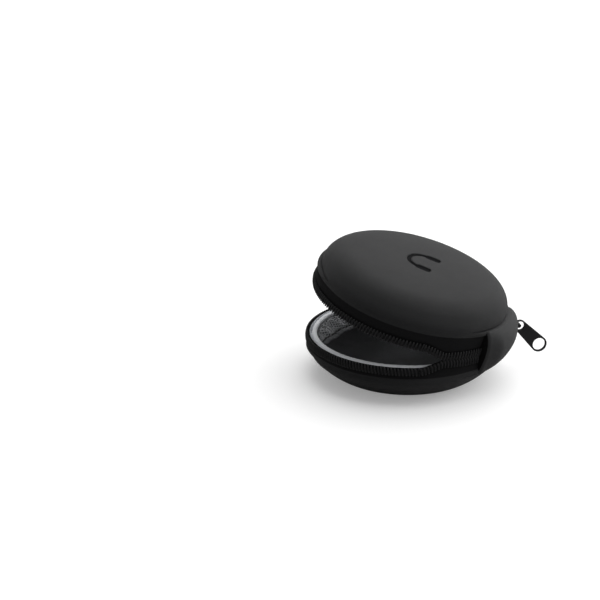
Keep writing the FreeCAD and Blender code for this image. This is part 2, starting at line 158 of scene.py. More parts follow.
def opened(points, share=1.0):
    """Points of the closed case carried open about the hinge, by a share of the lid's tilt."""
    p = points - HINGE_POINT
    angle = (TILT * np.broadcast_to(share, p.shape[:-1]))[..., None]
    along = (p @ HINGE_AXIS)[..., None] * HINGE_AXIS
    return HINGE_POINT + along + (p - along) * np.cos(angle) + np.cross(HINGE_AXIS, p) * np.sin(angle)


def placed(r, turn, h, half, share=None):
    """Points of a half; share is how far they follow the lid, if not wholly their own half."""
    sign = -1 if half == "base" else 1
    if share is None:
        share = 0.0 if half == "base" else 1.0
    return opened(around(r, turn, RIM_Z + sign * np.asarray(h)), share)


def swept(line, turns):
    """Radius and height of every point of a section, the same at every turn."""
    return (np.repeat(line[None, :, k], len(turns), 0) for k in (0, 1))


def polar_uv(reach, a):
    """UVs of a turned face by distance from its middle, with the first turn again at the end."""
    wide = np.vstack([a, a[:1] + 2 * pi])
    return np.stack([reach * np.cos(wide), reach * np.sin(wide)], -1)


def grid_uv(u, v):
    """UVs in metres from millimetres along a band and across it."""
    return np.stack(np.broadcast_arrays(u[:, None] * MM, v[None, :] * MM), -1)


# ---- meshes
def grid_parts(points, wrap_v=False, wrap_u=False, uv=None, caps=False):
    """Vertices, faces and face-corner UVs of a grid of points."""
    nu, nv = points.shape[:2]
    if uv is None:
        uv = np.zeros((nu + wrap_u, nv + wrap_v, 2))
    i, j = np.meshgrid(np.arange(nu - 1 + wrap_u), np.arange(nv - 1 + wrap_v), indexing="ij")
    i, j = i.ravel(), j.ravel()
    corners = [(i, j), (i + 1, j), (i + 1, j + 1), (i, j + 1)]
    faces = np.stack([(a % nu) * nv + b % nv for a, b in corners], 1).tolist()
    loops = np.stack([uv[a, b] for a, b in corners], 1).reshape(-1, 2).tolist()
    if caps:
        for k in (0, nu - 1):
            faces.append([k * nv + m for m in range(nv)])
            loops += [uv[k, m].tolist() for m in range(nv)]
    return points.reshape(-1, 3).tolist(), faces, loops


def new_object(name, data):
    obj = bpy.data.objects.new(name, data)
    bpy.context.scene.collection.objects.link(obj)
    return obj


@contextmanager
def edited(mesh):
    """A mesh open for bmesh's operations, and written back after them."""
    bm = bmesh.new()
    bm.from_mesh(mesh)
    yield bm
    bm.to_mesh(mesh)
    bm.free()


def smooth_shaded(mesh, sharp):
    """Smooth shading, except at edges that turn by more than an angle in degrees."""
    mesh.polygons.foreach_set("use_smooth", [True] * len(mesh.polygons))
    mesh.set_sharp_from_angle(angle=radians(sharp))


def joined(name, parts, sharp=50.0):
    """One mesh object from several grids, welded, with its faces turned outwards."""
    verts, faces, loops = [], [], []
    for part_verts, part_faces, part_loops in parts:
        start = len(verts)
        verts += part_verts
        faces += [[start + k for k in face] for face in part_faces]
        loops += part_loops
    mesh = bpy.data.meshes.new(name)
    mesh.from_pydata(verts, [], faces)
    layer = mesh.uv_layers.new(name="UVMap")
    layer.data.foreach_set("uv", np.array(loops, np.float32).ravel())
    with edited(mesh) as bm:
        bmesh.ops.remove_doubles(bm, verts=bm.verts, dist=1e-7)
        bmesh.ops.dissolve_degenerate(bm, edges=bm.edges, dist=1e-8)
        bmesh.ops.recalc_face_normals(bm, faces=bm.faces)
    smooth_shaded(mesh, sharp)
    return new_object(name, mesh)


def tube(points, radius, side, sides=8):
    """Grid of a round wire along points; side is a direction never parallel to it."""
    points = np.asarray(points)
    along = np.gradient(points, axis=0)
    across = np.cross(along, side)
    across /= np.linalg.norm(across, axis=1)[:, None]
    up = np.cross(across, along)
    up /= np.linalg.norm(up, axis=1)[:, None]
    a = np.linspace(0, 2 * pi, sides, endpoint=False)
    ring = np.cos(a)[None, :, None] * across[:, None] + np.sin(a)[None, :, None] * up[:, None]
    body = points[:, None] + ring * radius
    tips = [np.repeat(points[k][None, None], sides, 1) for k in (0, -1)]
    grid = np.concatenate([tips[0], body, tips[1]])
    length = length_along(points)
    length = np.concatenate([[0], length, [length[-1]]])
    uv = grid_uv(length / MM, np.linspace(0, 2 * pi * radius / MM, sides + 1))
    return grid_parts(grid, wrap_v=True, uv=uv)


def finish_piece(obj, body, material, replaced=()):
    """Give a piece its material and its body; a piece given a blend's start and end is left unattached, with its
    place baked into its mesh. Hide the nodes it replaces.
    """
    obj.data.materials.append(material)
    if isinstance(body, str):
        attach(obj, body)
    else:
        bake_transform(obj)
    if replaced:
        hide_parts(*replaced)
    return obj


# ---- materials
def new_material(name, rough, specular, sheen=0.0):
    mat = bpy.data.materials.new(name)
    mat.use_nodes = True
    shader = mat.node_tree.nodes["Principled BSDF"]
    shader.inputs["Roughness"].default_value = rough
    shader.inputs["Specular IOR Level"].default_value = specular
    shader.inputs["Sheen Weight"].default_value = sheen
    return mat, mat.node_tree, shader


def calc(tree, operation, a, b=0.0, c=0.0):
    """Output of a maths node whose inputs are constants or other nodes' outputs."""
    node = tree.nodes.new("ShaderNodeMath")
    node.operation = operation
    for socket, value in zip(node.inputs, (a, b, c)):
        if isinstance(value, bpy.types.NodeSocket):
            tree.links.new(value, socket)
        else:
            socket.default_value = value
    return node.outputs[0]


def uv_axes(tree):
    """U and V, which are metres along the cloth."""
    uv = tree.nodes.new("ShaderNodeUVMap")
    uv.uv_map = "UVMap"
    split = tree.nodes.new("ShaderNodeSeparateXYZ")
    tree.links.new(uv.outputs[0], split.inputs[0])
    return split.outputs[0], split.outputs[1]


def noise(tree, scale, detail=3.0):
    """Grey noise over the object, with a grain of about 1/scale metres."""
    node = tree.nodes.new("ShaderNodeTexNoise")
    node.inputs["Scale"].default_value = scale
    node.inputs["Detail"].default_value = detail
    place = tree.nodes.new("ShaderNodeTexCoord")
    tree.links.new(place.outputs["Object"], node.inputs["Vector"])
    return node.outputs[0]


def plain_weave(tree, pitch):
    """Height of crossing over-and-under threads, 0 to 1, on the UV map."""
    u, v = (calc(tree, "DIVIDE", axis, pitch) for axis in uv_axes(tree))
    cell = calc(tree, "ADD", calc(tree, "FLOOR", u), calc(tree, "FLOOR", v))
    over = calc(tree, "FLOORED_MODULO", cell, 2.0)
    warp = calc(tree, "ABSOLUTE", calc(tree, "SINE", calc(tree, "MULTIPLY", u, pi)))
    weft = calc(tree, "ABSOLUTE", calc(tree, "SINE", calc(tree, "MULTIPLY", v, pi)))
    left = calc(tree, "MULTIPLY", over, warp)
    right = calc(tree, "MULTIPLY", calc(tree, "SUBTRACT", 1.0, over), weft)
    return calc(tree, "ADD", left, right)


def ribs(tree, pitch, slant):
    """Height of slanting ribs that turn back half-way up, like herringbone tape."""
    u, v = uv_axes(tree)
    climb = calc(tree, "FLOORED_MODULO", v, 2 * slant)
    fold = calc(tree, "ABSOLUTE", calc(tree, "SUBTRACT", climb, slant))
    across = calc(tree, "DIVIDE", calc(tree, "ADD", u, fold), pitch)
    wave = calc(tree, "SINE", calc(tree, "MULTIPLY", across, 2 * pi))
    return calc(tree, "MULTIPLY_ADD", wave, 0.5, 0.5)


def colour_between(tree, shader, factor, low, high):
    """Base colour from low to high as the factor goes from 0 to 1."""
    mix = tree.nodes.new("ShaderNodeMix")
    mix.data_type = "RGBA"
    tree.links.new(factor, mix.inputs[0])
    mix.inputs[6].default_value = (*low, 1)
    mix.inputs[7].default_value = (*high, 1)
    tree.links.new(mix.outputs[2], shader.inputs["Base Color"])


def bump(tree, shader, height, distance):
    node = tree.nodes.new("ShaderNodeBump")
    node.inputs["Distance"].default_value = distance
    tree.links.new(height, node.inputs["Height"])
    tree.links.new(node.outputs[0], shader.inputs["Normal"])


def woven(name, colour, pitch, depth, rough, specular, sheen=0.0, contrast=0.35):
    """Cloth: over-and-under threads, a little fuzz and slow changes of tone."""
    mat, tree, shader = new_material(name, rough, specular, sheen)
    threads = plain_weave(tree, pitch)
    fuzz = noise(tree, 2500.0, 2.0)
    slow = noise(tree, 90.0)
    height = calc(tree, "ADD", threads, calc(tree, "MULTIPLY", fuzz, 0.6))
    tone = calc(tree, "MULTIPLY_ADD", threads, 0.55, calc(tree, "MULTIPLY", slow, 0.6))
    low, high = ([c * share for c in colour] for share in (1 - contrast, 1 + contrast))
    colour_between(tree, shader, tone, low, high)
    bump(tree, shader, height, depth)
    return mat


def textured(name, rough, specular, texture, low, high, depth):
    """A material whose tone and relief both follow one texture."""
    mat, tree, shader = new_material(name, rough, specular)
    height = texture(tree)
    colour_between(tree, shader, height, low, high)
    bump(tree, shader, height, depth)
    return mat


def painted_metal():
    """Black paint on a die casting, a little worn and unevenly shiny."""
    mat, tree, shader = new_material("black_painted_metal", 0.5, 0.3)
    grain = noise(tree, 900.0, 4.0)
    wear = calc(tree, "MULTIPLY", grain, noise(tree, 160.0))
    colour_between(tree, shader, wear, (0.004, 0.004, 0.0045), (0.013, 0.013, 0.014))
    rough = calc(tree, "MULTIPLY_ADD", grain, 0.2, 0.4)
    tree.links.new(rough, shader.inputs["Roughness"])
    bump(tree, shader, grain, 0.00001)
    return mat


def make_materials():
    skin_weave = (0.00042, 0.00005, 0.8, 0.25, 0.06)
    return {
        "skin": woven("case_fabric", (0.0135, 0.0137, 0.0143), *skin_weave),
        # the hinge panel is the case's own fabric made lighter: painted light for the panel's brighter, lit right
        # side
        "hinge": woven("hinge_fabric", (0.023, 0.0233, 0.024), *skin_weave),
        "pressed": woven("pressed_fabric", (0.0095, 0.0097, 0.0101), 0.00042, 0.00003, 1.0, 0.05),
        # the lining's grey is partly the knit's own tone and partly painted shade: it is made darker for the
        # inside of the case under the lid
        "lining": woven("lining_knit_and_shade", (0.085, 0.087, 0.092), 0.0005, 0.00006, 0.9, 0.2, contrast=0.2),
        "binding": woven("binding_knit", (0.86, 0.875, 0.90), 0.00045, 0.00005, 0.9, 0.2, contrast=0.1),
        "elastic": woven("elastic_knit", (0.11, 0.112, 0.118), 0.0006, 0.0001, 0.85, 0.25, contrast=0.4),
        "tape": textured("zip_tape_weave", 0.9, 0.12, lambda tree: ribs(tree, 0.0005, 0.0009),
                         (0.005, 0.005, 0.0053), (0.0095, 0.0095, 0.01), 0.00006),
        "coil": textured("coil_nylon", 0.5, 0.3, lambda tree: noise(tree, 1800.0),
                         (0.008, 0.008, 0.0085), (0.017, 0.017, 0.018), 0.00002),
        "thread": textured("thread", 0.7, 0.3, lambda tree: ribs(tree, 0.00022, 0.01),
                           (0.005, 0.005, 0.0055), (0.013, 0.013, 0.014), 0.00003),
        "net": textured("net_thread", 0.75, 0.25, lambda tree: noise(tree, 2200.0),
                        (0.26, 0.265, 0.275), (0.46, 0.465, 0.48), 0.00003),
        "foam": textured("foam", 0.95, 0.1, lambda tree: noise(tree, 1400.0, 4.0),
                         (0.03, 0.03, 0.032), (0.06, 0.06, 0.064), 0.0001),
        "metal": painted_metal()}


MATERIALS = make_materials()


# ---- moulded shells
def sign_depth(x, y):
    """Depth of the pressed headphone sign at a point of the closed lid's plan, in mm."""
    depth, edge = 0.62, 0.5
    band_r, band_half, shift = 6.1, 0.9, 1.0
    cup_half_w, cup_half_l, cup_y, corner = 1.7, 3.1, -1.9, 1.2
    turn = radians(HINGE_AZ + 90.0)
    px = x * cos(turn) + y * sin(turn)
    py = -x * sin(turn) + y * cos(turn) + shift
    band = np.abs(np.hypot(px, py) - band_r) - band_half
    band = np.where(py > 0, band, 9.0)
    qx = np.abs(np.abs(px) - band_r) - cup_half_w + corner
    qy = np.abs(py - cup_y) - cup_half_l + corner
    cup = np.hypot(np.maximum(qx, 0), np.maximum(qy, 0)) + np.minimum(np.maximum(qx, qy), 0) - corner
    return depth * smooth(0.5 - np.minimum(band, cup) / edge)


def front_share(turn):
    """How far a place is along the front, where the rolled edge is pressed flat, 0 to 1."""
    start, full, back, end = FLAT_FRONT
    turn = turn % 360.0
    return smooth((turn - start) / (full - start)) * (1 - 0.6 * smooth((turn - back) / (end - back)))


def roll_line(ridge, wall):
    """Section of the groove and the rolled edge, from the wall to the zip tape."""
    a = np.radians(np.linspace(150, -90, 17))
    arc = np.stack([TAPE_OUT + ROLL_R * np.cos(a), ridge + ROLL_R + ROLL_R * np.sin(a)], 1)
    groove = rounded([wall, (wall[0] - 0.5, ridge + 2.1), (wall[0] - 0.5, ridge + 1.6), arc[0]], 3)
    return np.vstack([groove[1:-1], arc])


def shell_line(half):
    """Section of a skin from its middle out to the rolled edge and back along its plain inside.

    Then the places in it where the flank, the rolled edge and the inside start.
    """
    ridge = RIDGE[half]
    curve = bezier(FLANK[half], 34)
    if half == "base":
        middle = np.stack([np.linspace(0, 24.5, 14), np.full(14, 17.0)], 1)
        back_middle = middle[::3]
    else:
        crown = bezier(LID_CROWN, 400)[::-1]
        radii = np.concatenate([np.arange(0, 10.2, 0.2), np.linspace(10.9, 28.0, 26)])
        middle = np.stack([radii, np.interp(radii, crown[:, 0], crown[:, 1])], 1)
        back_middle = middle[::6]
    edge = roll_line(ridge, curve[0])
    under_roll = [(TAPE_OUT + 0.02, ridge + 0.75), (TAPE_IN - 0.25, ridge + 0.8)]
    back = inside(curve, SKIN_T)
    back_middle = back_middle[back_middle[:, 0] < back[-1, 0] - 0.5] - (0, SKIN_T)
    line = np.vstack([middle, curve[::-1][1:], edge, under_roll, back, back_middle[::-1]])
    roll_start = len(middle) + len(curve) - 1
    return line, len(middle), roll_start, roll_start + len(edge)


def shell(half):
    """Skin of a half: a moulded fabric face with a rolled edge, and a plain back."""
    line, flank_start, roll_start, back_start = shell_line(half)
    place = np.arange(len(line))
    flank = (place >= flank_start) & (place < roll_start)
    rolled = (place >= roll_start) & (place < back_start)
    outside = place < back_start
    wall = FLANK[half][0][0]
    turns = np.arange(0, 360, 1.0)
    a = np.radians(turns)[:, None]
    r, h = swept(line, turns)

    # the rolled edge is pressed flat along the front, with no groove, and sinks behind the panel
    front = front_share(turns)[:, None]
    flat = TAPE_OUT + 0.06
    swell = (flat - wall) * front * smooth((RIDGE[half] + 7.0 - h) / 4.6)
    r = np.where(rolled, r + (flat - r) * front, np.where(flank, r + swell, r))
    bare = smooth((np.abs((turns + 180) % 360 - 180) - HINGE_HALF + 1.8) / 1.6)[:, None]
    r = np.where(rolled & (r > wall), wall + (r - wall) * bare, r)

    # slow unevenness of the pressed cloth, and the sign
    s = length_along(line)[None, :]
    wave = (np.sin(3 * a + 0.7) + 0.6 * np.sin(7 * a + s / 6) + 0.4 * np.sin(13 * a - s / 4 + 2)) * 0.035
    wave = wave * smooth(s / 20) * outside
    d = tangents(line)
    r = r + d[None, :, 1] * wave * (r > 0)
    if half == "lid":
        plan = around(r, turns[:, None], 0.0) / MM
        h = h - np.where(outside, sign_depth(plan[..., 0], plan[..., 1]), 0.0)
        h = h + wave * (np.abs(d[None, :, 0]) > 0.8) * 0.7
    points = placed(r, turns[:, None], h, half)
    reach = np.where(outside, s[0], 2 * s[0, back_start - 1] - s[0])[None, :] * MM
    return joined(half + "_shell", [grid_parts(points, wrap_u=True, uv=polar_uv(reach, a))], 60.0)


def darken_sign(obj):
    """The pressed sign takes the darker, flattened look of hot-pressed cloth."""
    obj.data.materials.append(MATERIALS["pressed"])
    shut = Matrix.Rotation(-TILT, 4, Vector(HINGE_AXIS))
    for face in obj.data.polygons:
        x, y, z = (shut @ (face.center - Vector(HINGE_POINT)) + Vector(HINGE_POINT)) / MM
        if z - RIM_Z > LID_CROWN[-1][1] - 1.6 and sign_depth(np.array(x), np.array(y)) > 0.3:
            face.material_index = 1


def lining(half):
    """Knitted lining inside a half, lightly rippled where it was pressed into the corner."""
    curve = inside(bezier(FLANK[half], 30), LINING_DEPTH)
    end = curve[-1]
    if half == "base":
        middle = np.stack([np.linspace(0, end[0], 16), np.full(16, end[1])], 1)
    else:
        crown = bezier(LID_CROWN, 60)[::-1] - (0, LINING_DEPTH)
        middle = np.vstack([crown[crown[:, 0] < end[0] - 0.8][::3], [end]])
    keep = curve[curve[:, 0] < LIP_R - 0.02][::-1]
    wall = np.linspace(keep[-1], (LIP_R, 0.9), 8)[1:]
    face = np.vstack([middle[:-1], keep, wall])
    back = inside(face[::-1], LINING_T)
    back[:, 0] = np.maximum(back[:, 0], 0)
    back[0] = (LIP_R + LINING_T, 0.9)
    back[-1] = (0, face[0, 1] + LINING_T)
    line = np.vstack([face, back])
    turns = np.arange(0, 360, 1.5)
    a = np.radians(turns)[:, None]
    corner = np.exp(-((line[:, 1] - 11.0) / 3.5) ** 2)[None, :] * (np.arange(len(line)) < len(face))
    ripple = corner * (np.sin(23 * a + 1.3 * np.sin(3 * a)) + 0.7 * np.sin(37 * a + 2)) * 0.13
    r, h = swept(line, turns)
    points = placed(r - ripple, turns[:, None], h, half)
    uv = polar_uv(length_along(line)[None, :] * MM, a)
    return joined(half + "_inner_lining", [grid_parts(points, wrap_u=True, uv=uv)], 60.0)


def binding(half):
    """Light facing: over the foam's edge, down the slider's groove and up the back of the tape."""
    seen = rounded([(35.36, 1.9), (35.3, 1.2), (35.32, 0.55), (35.65, 0.12), (36.2, 0.02), (36.7, 0.06),
                    (37.1, 0.3), (37.32, 0.9), (37.33, 2.2), (37.38, 3.2), (37.7, 3.5), (38.05, 3.3),
                    (38.12, 2.4), (38.12, 0.6), (38.2, 0.32)], 3)
    hidden = np.array([(38.28, 0.6), (38.28, 3.75), (37.03, 3.75), (37.03, 0.67), (35.62, 0.67),
                       (35.58, 1.9)])
    line = np.vstack([seen, hidden])
    turns = np.arange(0, 360, 1.0)
    a = np.radians(turns)[:, None]
    puff = 0.05 * np.sin(47 * a) + 0.04 * np.sin(31 * a + 1)
    top = np.exp(-(line[:, 1] / 0.6) ** 2)[None, :] * (np.arange(len(line)) < len(seen) - 6)
    r, h = swept(line, turns)
    points = placed(r, turns[:, None], h + np.abs(puff) * top, half)
    s = length_along(np.vstack([line, line[:1]]))
    uv = grid_uv(np.radians(np.append(turns, 360.0)) * 36, s)
    return joined(half + "_edge_facing", [grid_parts(points, wrap_v=True, wrap_u=True, uv=uv)], 60.0)


# ---- zip
ZIP_NODES = {"base_coil": ["base_zip_teeth"], "base_coil_hinge": ["base_teeth_front_end"],
             "lid_coil": ["lid_zip_teeth"], "lid_coil_hinge": ["lid_teeth_front_end"],
             "lid_coil_rear": ["lid_teeth_rear_end"], "base_tape": ["base_zip_tape"],
             "base_tape_hinge": ["base_tape_front_end"], "lid_tape": ["lid_zip_tape"],
             "lid_tape_hinge": ["lid_tape_front_end"], "lid_tape_park": ["lid_tape_rear_end"]}


def front_lift(turn):
    """How far the base's row follows the lid at the front end; it meets the lid's row half-way."""
    return smooth(0.5 * np.clip((turn - FRONT_FIXED) / (FRONT_MESHED - FRONT_FIXED), 0, 1))


def rear_lift(turn):
    """How far the lid's row behind the hinge panel has risen from the base's row with the lid."""
    return smooth((turn - PARK) / (REAR_FIXED - PARK))


def share_of(zone, turn):
    """Share of the lid's tilt that a row of teeth has at a turn, in each zone of the zip."""
    turn = np.asarray(turn, float)
    if zone == "base_front":
        return front_lift(turn)
    if zone == "lid_front":
        return 1.0 - front_lift(turn)
    if zone == "lid_rear":
        return rear_lift(turn)
    return np.full_like(turn, zone == "lid")


def coil_turns(half, start, stop, per):
    """Places along a row, so many to each turn of the wire, and the wire's angle at each."""
    pitch = degrees(COIL_PITCH / COIL_R)
    turn = np.linspace(start, stop, int(round((stop - start) / pitch * per)) + 1)
    return turn, 2 * pi * turn / pitch + (0 if half == "base" else pi)


def coil(half, zone, start, stop):
    """Nylon coil: one flattened helix, its heads at the rim plane."""
    turn, a = coil_turns(half, start, stop, 18)
    c, s = np.cos(a), np.sin(a)
    r = COIL_R + COIL_HALF_T * np.sign(c) * np.abs(c) ** 0.6
    h = COIL_MID + COIL_HALF_H * np.sign(s) * np.abs(s) ** 0.85
    path = placed(r, turn, h, half, share_of(zone, turn))
    return tube(path, WIRE_R * MM, outward(turn + 90.0))


def coil_thread(half, zone, start, stop, h):
    """Sewing thread that runs over the coil and dips between its turns."""
    turn, a = coil_turns(half, start, stop, 8)
    lean = np.arcsin(np.clip((h - COIL_MID) / COIL_HALF_H, -1, 1))
    r = COIL_R + 0.33 + 0.3 * np.cos(a - lean)
    path = placed(r, turn, np.full(len(turn), h), half, share_of(zone, turn))
    return tube(path, THREAD_R * MM, outward(turn), 6)


def tape(half, zone, start, stop):
    """Woven tape from the rim to under the rolled edge; its far edge stays with its own half."""
    ridge = RIDGE[half]
    up = np.concatenate([[0.1], np.linspace(0.2, 3.0, 4), np.linspace(3.4, ridge + 0.3, 10)])
    loop = np.concatenate([up, up[::-1]])
    seen = np.arange(len(loop)) < len(up)
    turn = np.linspace(start, stop, max(8, int((stop - start) / 1.5)))
    t, h = np.meshgrid(turn, loop, indexing="ij")
    held = smooth((h - 3.4) / (ridge - 3.4))
    share = share_of(zone, t) * (1 - held) + share_of(half, 0.0) * held
    bulge = np.sin(pi * np.clip((h - 3.0) / (ridge - 2.7), 0, 1) ** 0.6)
    r = np.where(seen, TAPE_OUT - 0.02, TAPE_IN + 0.02)
    r = r + np.where(h < 0.15, np.where(seen, -0.12, 0.12), 0.0)
    r = r + (0.75 - 0.5 * front_share(t)) * bulge * seen
    uv = grid_uv(np.radians(turn) * TAPE_OUT, np.append(loop, loop[0]))
    return grid_parts(placed(r, t, h, half, share), wrap_v=True, uv=uv, caps=True)


def ramp(zone, line, tip, weight):
    """Blend of a bending tape: nothing along a line between two (turn, height) places on its own
    half, and that weight of the other half at the rim at the tip's turn."""
    half = zone.split("_")[0]
    a, b = (placed(TAPE_OUT, turn, h, half) for turn, h in line)
    along = (b - a) / np.linalg.norm(b - a)
    out = placed(TAPE_OUT, tip, 0.1, half, share_of(zone, tip)) - a
    end = a + (out - (out @ along) * along) / weight
    return (a, end) if half == "base" else (end, a)


def zip_stretches():
    """The zip, cut where it starts to bend with the lid and at the parked slider.

    Each stretch has the end of its pieces' names, its zone, its first and last turn, and the body or
    the blend of its teeth and of its tape.
    """
    round_end = 360.0 + FRONT_FIXED
    front, mesh, hinge_end = FRONT_FIXED, FRONT_MESHED, -ROW_START
    rim = {turn: around(COIL_R, turn, RIM_Z) for turn in (front, mesh, PARK, REAR_FIXED)}
    far = rim[front] + 2 * (rim[mesh] - rim[front])
    # meshed teeth turn half as far as the lid, all alike, so their blend is very long
    middle = Vector(around(COIL_R, FRONT_MIDDLE, RIM_Z))
    level = Vector((0, 0, 1))
    halfway = (middle - level, middle + level)
    low, high = RIDGE["base"], RIDGE["lid"]
    return [
        ("", "base", ROW_START, round_end, "base", "base"),
        ("_front", "base_front", front, mesh, (rim[front], far),
         ramp("base_front", ((front, 0.1), (mesh, low)), mesh, 0.5)),
        ("_hinge", "base_front", mesh, hinge_end, halfway,
         ramp("base_front", ((mesh, low), (hinge_end, low)), FRONT_MIDDLE, 0.5)),
        ("", "lid", REAR_FIXED, round_end, "lid", "lid"),
        ("_front", "lid_front", front, mesh, (far, rim[front]),
         ramp("lid_front", ((front, 0.1), (mesh, high)), mesh, 0.5)),
        ("_hinge", "lid_front", mesh, hinge_end, halfway,
         ramp("lid_front", ((mesh, high), (hinge_end, high)), FRONT_MIDDLE, 0.5)),
        ("_rear", "lid_rear", PARK, REAR_FIXED, (rim[PARK], rim[REAR_FIXED]),
         ramp("lid_rear", ((REAR_FIXED, 0.1), (PARK, high)), PARK, 1.0)),
        ("_park", "lid_rear", ROW_START, PARK, "base",
         ramp("lid_rear", ((ROW_START, high), (PARK, high)), PARK_MIDDLE, 1.0))]


def zip_rows():
    stretches = zip_stretches()
    for ending, zone, start, stop, body, _ in stretches:
        half = zone.split("_")[0]
        name = half + "_coil" + ending
        row = joined(name, [coil(half, zone, start, stop)])
        finish_piece(row, body, MATERIALS["coil"], ZIP_NODES.get(name, ()))
        threads = [coil_thread(half, zone, start, stop, h) for h in THREAD_HEIGHTS]
        row = joined(name + "_thread", threads)
        finish_piece(row, body, MATERIALS["thread"])
    for ending, zone, start, stop, _, body in stretches:
        half = zone.split("_")[0]
        name = half + "_tape" + ending
        band = joined(name, [tape(half, zone, start, stop)], 40.0)
        finish_piece(band, body, MATERIALS["tape"], ZIP_NODES.get(name, ()))


# ---- hinge
# Poles of the sheets' curves, all in mm: two on the base as (radius, height over the table), then
# two on the closed lid as (radius, height over the rim plane).
PANEL_SEAT = 39.3           # radius that no part of the panel is drawn in past
DRAWN_IN = 0.45             # how far towards it the panel's front end is drawn
DRAWN_TURN = 10.0           # and the width of that end, in degrees
PANEL_OUT = ([(39.5, 10.1), (42.6, 11.9)], [(48.4, 5.3), (40.1, 8.9)])
PANEL_IN = ([(38.4, 10.75), (40.6, 13.4)], [(45.9, 5.0), (38.3, 8.6)])
GUSSET = ([(38.3, 10.6), (38.25, 13.5)], [(38.25, 3.0), (38.3, 8.3)])
FLAP_OUT = ([(37.9, 12.55), (40.5, 15.0)], [(40.0, 2.5), (37.9, 6.95)])
FLAP_IN = ([(37.4, 12.55), (40.0, 15.0)], [(39.5, 2.5), (37.4, 6.95)])
PANEL_BEND = (11.5, 25.5)   # heights over the table where the panel starts and stops bending
FLAP_BEND = (13.0, 23.0)


def hinge_surface(poles, turns, steps):
    """Grid of a bent sheet from the base to the open lid, drawn in towards the zip at its front."""
    foot, head = poles
    columns = []
    for turn in turns:
        drawn = DRAWN_IN * smooth((-turn - HINGE_HALF + DRAWN_TURN) / DRAWN_TURN)
        low = [around(r - drawn * max(r - PANEL_SEAT, 0.0), turn, z) for r, z in foot]
        high = [around(r - drawn * max(r - PANEL_SEAT, 0.0), turn, RIM_Z + h) for r, h in head]
        columns.append(bezier(low + [opened(point) for point in high], steps))
    return np.array(columns)


def moved_in(poles, amount):
    return tuple([(r - amount, z) for r, z in side] for side in poles)


def bent_sheet(name, out_poles, in_poles, half_angle, steps, edge):
    """Closed sheet between two bent surfaces, with rounded borders."""
    turns = np.linspace(-half_angle, half_angle, 61)
    out = hinge_surface(out_poles, turns, steps)
    back = hinge_surface(in_poles, turns, steps)
    middle = (out + back) / 2
    rim = np.minimum(np.minimum(turns + half_angle, half_angle - turns) / edge, 1)
    plump = np.sqrt(np.clip(1 - (1 - rim) ** 2, 0, 1))[:, None, None]
    out = middle + (out - middle) * plump
    back = middle + (back - middle) * plump
    points = np.concatenate([out, back[:, ::-1]], 1)
    length = length_along(out[30]) / MM
    uv = grid_uv(np.radians(turns) * 40, np.concatenate([length, length[::-1], length[:1]]))
    return joined(name, [grid_parts(points, wrap_v=True, uv=uv)], 60.0)


def gussets(half_angle):
    """Dark tape that closes the panel's two ends against the zip, tucked in behind the zip's tape."""
    parts = []
    share = np.linspace(0, 1, 6)[:, None, None]
    for side in (-1, 1):
        walls = []
        for turn, sunk in ((half_angle - 0.15, 0.0), (half_angle - 0.75, 0.15)):
            deep = hinge_surface(moved_in(GUSSET, sunk), [side * turn], 33)[0]
            tuck = hinge_surface(moved_in(GUSSET, sunk - 0.35), [side * (half_angle + 4.0)], 33)[0]
            proud = hinge_surface(PANEL_OUT, [side * turn], 33)[0]
            hidden = hinge_surface(PANEL_IN, [side * turn], 33)[0]
            edge = (proud + hidden) / 2
            walls.append(np.concatenate([tuck + (deep - tuck) * share[:-1],
                                         deep + (edge - deep) * share]))
        loop = np.concatenate([walls[0], walls[1][::-1]])
        parts.append(grid_parts(np.swapaxes(loop, 0, 1), wrap_v=True, caps=True))
    return joined("hinge_cover_gussets", parts, 40.0)


def hinge():
    panel_bend, flap_bend = ([np.array([*HINGE_POINT[:2], z * MM]) for z in heights]
                             for heights in (PANEL_BEND, FLAP_BEND))
    panel = bent_sheet("hinge_cover", PANEL_OUT, PANEL_IN, HINGE_HALF, 41, 1.2)
    finish_piece(panel, panel_bend, MATERIALS["hinge"], ["hinge_panel"])
    flap = bent_sheet("hinge_inner_flap", FLAP_OUT, FLAP_IN, HINGE_HALF - 3.5, 25, 0.8)
    finish_piece(flap, flap_bend, MATERIALS["lining"], ["hinge_lining"])
    finish_piece(gussets(HINGE_HALF), panel_bend, MATERIALS["tape"])


# ---- slider and pull
def softened_copy(node, name, width):
    """Detailed stand-in for a metal CAD node: the same shape with its edges rounded over."""
    mesh = frame["nodes"][node].data.copy()
    mesh.materials.clear()
    with edited(mesh) as bm:
        bmesh.ops.remove_doubles(bm, verts=bm.verts, dist=2e-6)
        bmesh.ops.dissolve_limit(bm, angle_limit=radians(1.0), verts=bm.verts, edges=bm.edges)
    obj = new_object(name, mesh)
    bevel = obj.modifiers.new("edges", "BEVEL")
    bevel.width = width
    bevel.segments = 3
    bevel.limit_method = "ANGLE"
    bevel.angle_limit = radians(35)
    graph = bpy.context.evaluated_depsgraph_get()
    obj.data = bpy.data.meshes.new_from_object(obj.evaluated_get(graph))
    obj.modifiers.clear()
    smooth_shaded(obj.data, 40.0)
    return obj


def arc_points(x, radius, start=0.0, stop=2 * pi, count=48):
    """Points on a circle, or on an arc of it, centred at x on the first axis."""
    a = np.linspace(start, stop, count, endpoint=stop - start < 2 * pi - 1e-6)
    return [(x + radius * cos(k), radius * sin(k)) for k in a]


